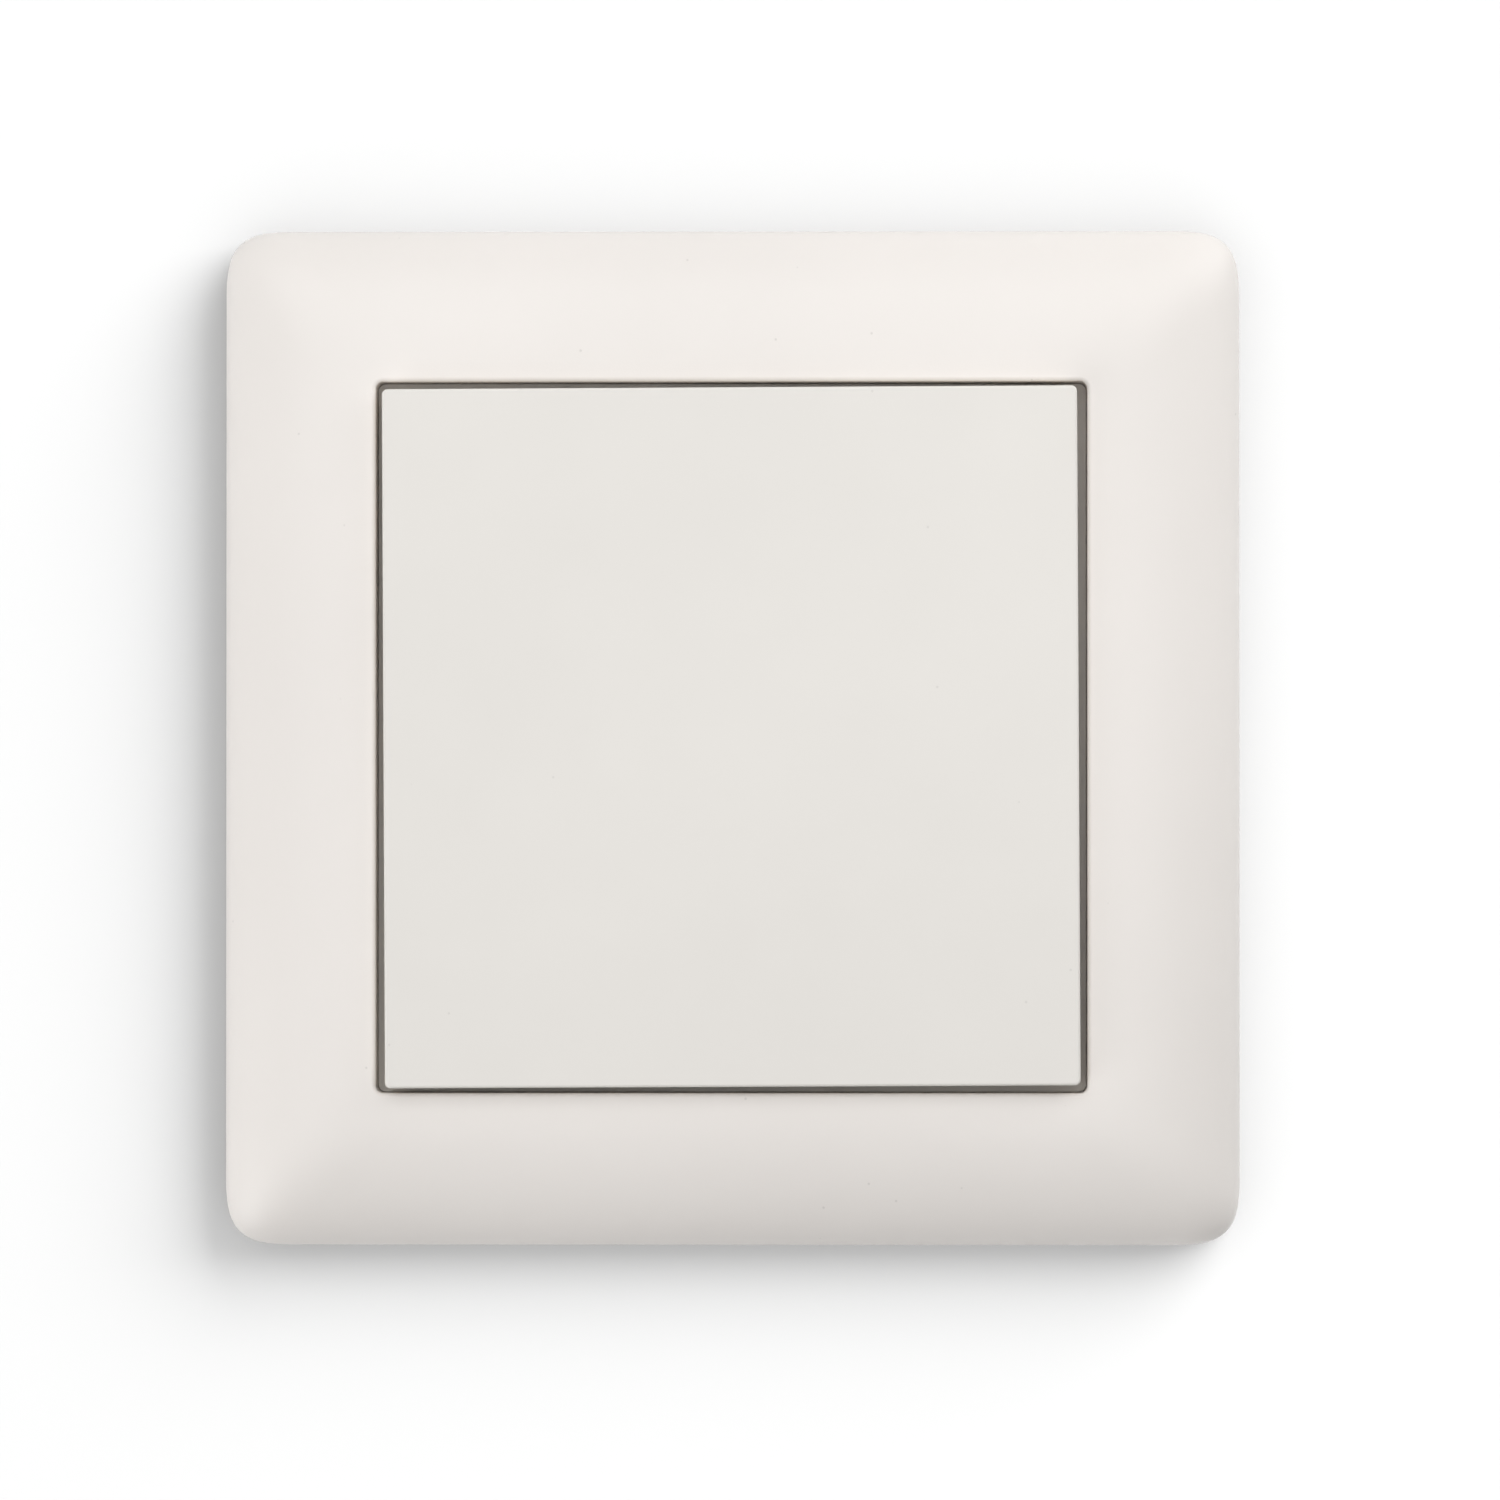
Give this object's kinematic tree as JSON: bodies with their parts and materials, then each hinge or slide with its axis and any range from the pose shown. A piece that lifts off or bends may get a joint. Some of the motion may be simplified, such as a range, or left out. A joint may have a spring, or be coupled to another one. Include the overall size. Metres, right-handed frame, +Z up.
{
  "type": "pushbutton dimmer switch",
  "caption": "Flush wall dimmer with one large square rocking push key in a pillow-shaped square surround, with its insert for a round wall box.",
  "frame": {"origin": "middle of the pattern of box screws, on the wall surface", "axes": "+X right as seen from the room, +Z up, -Y out of the wall into the room"},
  "size_m": [0.0804, 0.042, 0.0804],
  "materials": {
    "surround": "satin warm white moulding with a very fine grain",
    "key": "satin warm white moulding, smoother than the surround",
    "pale_moulding": "matt light grey-white moulding",
    "dark_moulding": "matt black moulding",
    "spring_steel": "bright spring steel strip",
    "zinc_steel": "pressed steel with bright zinc",
    "screw_steel": "zinc-plated screw steel",
    "housing": "matt grey heat-proof moulding",
    "board": "green lacquered circuit board",
    "chip": "black moulded package",
    "ferrite": "sintered iron powder ring",
    "copper": "lacquered copper wire",
    "film_case": "yellow moulded case",
    "can_sleeve": "dark shrunk sleeve",
    "varistor_coat": "blue dipped coating",
    "aluminium": "stamped sheet",
    "brass": "tinned brass"
  },
  "bodies": {
    "insert": {"board_header": "dark_moulding", "centre_base": "pale_moulding", "choke_core": "ferrite", "choke_winding": "copper", "cover_frame": "surround", "electrolytic_capacitor": "can_sleeve", "film_capacitor": "film_case", "fuse": "dark_moulding", "heat_spreader": "aluminium", "housing_body": "housing", "housing_cover": "housing", "housing_screws": "screw_steel", "key_board": "board", "main_board": "board", "microcontroller": "chip", "return_spring_left": "spring_steel", "return_spring_right": "spring_steel", "support_plate": "zinc_steel", "tact_switch_lower": "dark_moulding", "tact_switch_upper": "dark_moulding", "terminal_cage_dimmed": "brass", "terminal_cage_extension": "brass", "terminal_cage_live": "brass", "terminal_screws": "screw_steel", "transistor_left": "chip", "transistor_right": "chip", "transistor_screws": "screw_steel", "varistor": "varistor_coat"},
    "key": {"key_cap": "key", "rocker_yoke": "pale_moulding"},
    "upper_plunger": {"upper_plunger": "dark_moulding"},
    "lower_plunger": {"lower_plunger": "dark_moulding"},
    "upper_button": {"tact_button_upper": "dark_moulding"},
    "lower_button": {"tact_button_lower": "dark_moulding"},
    "right_claw": {"claw_right": "zinc_steel"},
    "left_claw": {"claw_left": "zinc_steel"},
    "right_claw_screw": {"claw_screw_right": "screw_steel"},
    "left_claw_screw": {"claw_screw_left": "screw_steel"}
  },
  "joints": [
    {"name": "key_tilt", "type": "hinge", "parent": "insert", "child": "key", "pos_m": [0, -0.0065, 0], "axis": [-1, 0, 0], "range_deg": [-2.2, 2.2], "stiffness_Nm_per_rad": 1.9, "deforming": ["return_spring_left", "return_spring_right"]},
    {"name": "upper_plunger_slide", "type": "slide", "parent": "insert", "child": "upper_plunger", "axis": [0, 1, 0], "range_m": [-0.000404, 0.000404]},
    {"name": "lower_plunger_slide", "type": "slide", "parent": "insert", "child": "lower_plunger", "axis": [0, 1, 0], "range_m": [-0.000404, 0.000404]},
    {"name": "upper_button_press", "type": "slide", "parent": "insert", "child": "upper_button", "axis": [0, 1, 0], "range_m": [0, 0.00025], "stiffness_N_per_m": 1500},
    {"name": "lower_button_press", "type": "slide", "parent": "insert", "child": "lower_button", "axis": [0, 1, 0], "range_m": [0, 0.00025], "stiffness_N_per_m": 1500},
    {"name": "right_claw_screw_turn_in", "type": "slide", "parent": "insert", "child": "right_claw_screw", "axis": [0, 1, 0], "range_m": [0, 0.00128]},
    {"name": "left_claw_screw_turn_in", "type": "slide", "parent": "insert", "child": "left_claw_screw", "axis": [0, 1, 0], "range_m": [0, 0.00128]},
    {"name": "right_claw_swing", "type": "hinge", "parent": "insert", "child": "right_claw", "pos_m": [0.0256, -0.0006, 0], "axis": [0, 0, -1], "range_deg": [0, 15]},
    {"name": "left_claw_swing", "type": "hinge", "parent": "insert", "child": "left_claw", "pos_m": [-0.0256, -0.0006, 0], "axis": [0, 0, 1], "range_deg": [0, 15]}
  ],
  "couplings": [
    {"joint": "upper_plunger_slide", "follows": "key_tilt", "m_per_rad": 0.0105},
    {"joint": "lower_plunger_slide", "follows": "key_tilt", "m_per_rad": -0.0105},
    {"joint": "right_claw_swing", "follows": "right_claw_screw_turn_in", "rad_per_m": 204.08},
    {"joint": "left_claw_swing", "follows": "left_claw_screw_turn_in", "rad_per_m": 204.08}
  ]
}
